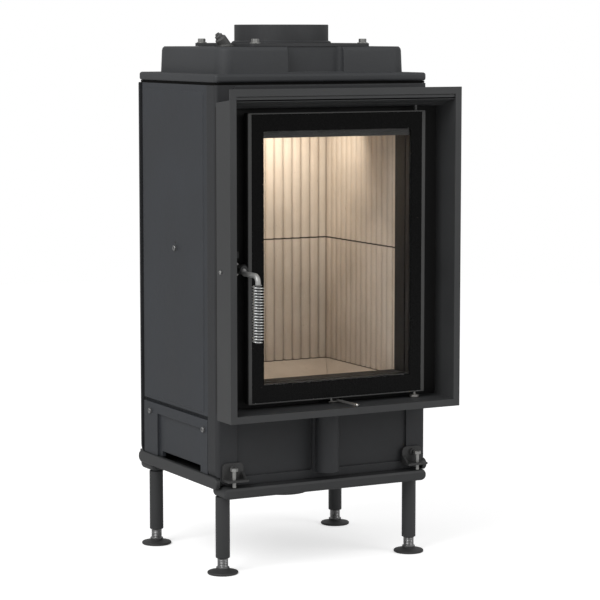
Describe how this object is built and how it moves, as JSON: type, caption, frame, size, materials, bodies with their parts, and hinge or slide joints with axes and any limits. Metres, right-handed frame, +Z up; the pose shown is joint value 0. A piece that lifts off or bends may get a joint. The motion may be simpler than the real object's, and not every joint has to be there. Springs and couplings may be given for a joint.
{
  "type": "fireplace insert",
  "caption": "Tall cast-iron fireplace insert on levelling legs, with a swinging glass door, coil handle, deep facing frame, sliding air control, fluted firebrick chamber and flue collar.",
  "frame": {"origin": "on the floor plane under the middle of the bounding box", "axes": "+Z up, -Y out of the door towards the room, +X to the right as seen from the room"},
  "size_m": [0.483, 0.4938, 1.0175],
  "materials": {
    "cast_iron_dark": "fine sand-cast surface under dark grey heat-resistant paint",
    "frame_paint": "satin dark grey heat-resistant paint on folded sheet steel",
    "black_steel": "matt black heat-resistant paint",
    "bright_steel": "bright drawn steel",
    "zinc_steel": "zinc-plated steel",
    "firebrick": "pale cream pressed firebrick",
    "door_glass": "clear glass-ceramic with a black printed border",
    "seal_rope": "knitted glass-fibre rope"
  },
  "bodies": {
    "casing": {"front_casting": "cast_iron_dark", "rear_casting": "cast_iron_dark", "side_panel_left": "cast_iron_dark", "side_panel_right": "cast_iron_dark", "side_base_left": "cast_iron_dark", "side_base_right": "cast_iron_dark", "bottom_pan": "cast_iron_dark", "floor_plate": "cast_iron_dark", "top_dome": "cast_iron_dark", "dome_cover_plate": "cast_iron_dark", "flue_collar": "cast_iron_dark", "sensor_sleeve": "cast_iron_dark", "fire_grate": "cast_iron_dark", "cross_rail_front": "cast_iron_dark", "cross_rail_rear": "cast_iron_dark", "side_rail_left": "cast_iron_dark", "side_rail_right": "cast_iron_dark", "dome_seal": "seal_rope", "facing_frame": "frame_paint", "door_seat": "black_steel", "hinge_pin_lower": "bright_steel", "hinge_pin_upper": "bright_steel", "lever_post": "zinc_steel", "ash_box": "black_steel", "baffle_plate": "firebrick", "air_spigot": "black_steel", "brick_back_lower": "firebrick", "brick_back_upper": "firebrick", "brick_left_lower": "firebrick", "brick_left_upper": "firebrick", "brick_right_lower": "firebrick", "brick_right_upper": "firebrick", "floor_brick_front": "firebrick", "floor_brick_back": "firebrick", "floor_brick_left": "firebrick", "floor_brick_right": "firebrick", "leg_tube_front_left": "cast_iron_dark", "corner_bracket_front_left": "cast_iron_dark", "levelling_bolt_front_left": "zinc_steel", "leg_tube_front_right": "cast_iron_dark", "corner_bracket_front_right": "cast_iron_dark", "levelling_bolt_front_right": "zinc_steel", "leg_tube_rear_left": "cast_iron_dark", "corner_bracket_rear_left": "cast_iron_dark", "levelling_bolt_rear_left": "zinc_steel", "leg_tube_rear_right": "cast_iron_dark", "corner_bracket_rear_right": "cast_iron_dark", "levelling_bolt_rear_right": "zinc_steel"},
    "door": {"door_frame": "black_steel", "door_glass": "door_glass", "door_trim": "zinc_steel", "door_gasket": "seal_rope"},
    "handle": {"handle_rod": "bright_steel", "handle_coil": "bright_steel"},
    "air_lever": {"air_lever": "bright_steel"},
    "air_slide": {"air_slide": "zinc_steel"},
    "foot_front_left": {"levelling_foot_front_left": "zinc_steel"},
    "foot_front_right": {"levelling_foot_front_right": "zinc_steel"},
    "foot_rear_left": {"levelling_foot_rear_left": "zinc_steel"},
    "foot_rear_right": {"levelling_foot_rear_right": "zinc_steel"}
  },
  "joints": [
    {"name": "door_swing", "type": "hinge", "parent": "casing", "child": "door", "pos_m": [0.17, -0.16812, 0.5924], "axis": [0, 0, 1], "range_deg": [0, 110]},
    {"name": "handle_turn", "type": "hinge", "parent": "door", "child": "handle", "pos_m": [-0.196, -0.16512, 0.5754], "axis": [0, -1, 0], "range_deg": [0, 90]},
    {"name": "air_lever_swing", "type": "hinge", "parent": "casing", "child": "air_lever", "pos_m": [0, -0.15313, 0.3219], "axis": [0, 0, 1], "range_deg": [-29.2, 20.8]},
    {"name": "air_slide_travel", "type": "slide", "parent": "casing", "child": "air_slide", "axis": [1, 0, 0], "range_m": [-0.0117, 0.0164]},
    {"name": "foot_front_left_height", "type": "slide", "parent": "casing", "child": "foot_front_left", "axis": [0, 0, -1], "range_m": [0, 0.04]},
    {"name": "foot_front_right_height", "type": "slide", "parent": "casing", "child": "foot_front_right", "axis": [0, 0, -1], "range_m": [0, 0.04]},
    {"name": "foot_rear_left_height", "type": "slide", "parent": "casing", "child": "foot_rear_left", "axis": [0, 0, -1], "range_m": [0, 0.04]},
    {"name": "foot_rear_right_height", "type": "slide", "parent": "casing", "child": "foot_rear_right", "axis": [0, 0, -1], "range_m": [0, 0.04]}
  ],
  "couplings": [
    {"joint": "air_slide_travel", "follows": "air_lever_swing", "m_per_rad": -0.032}
  ]
}
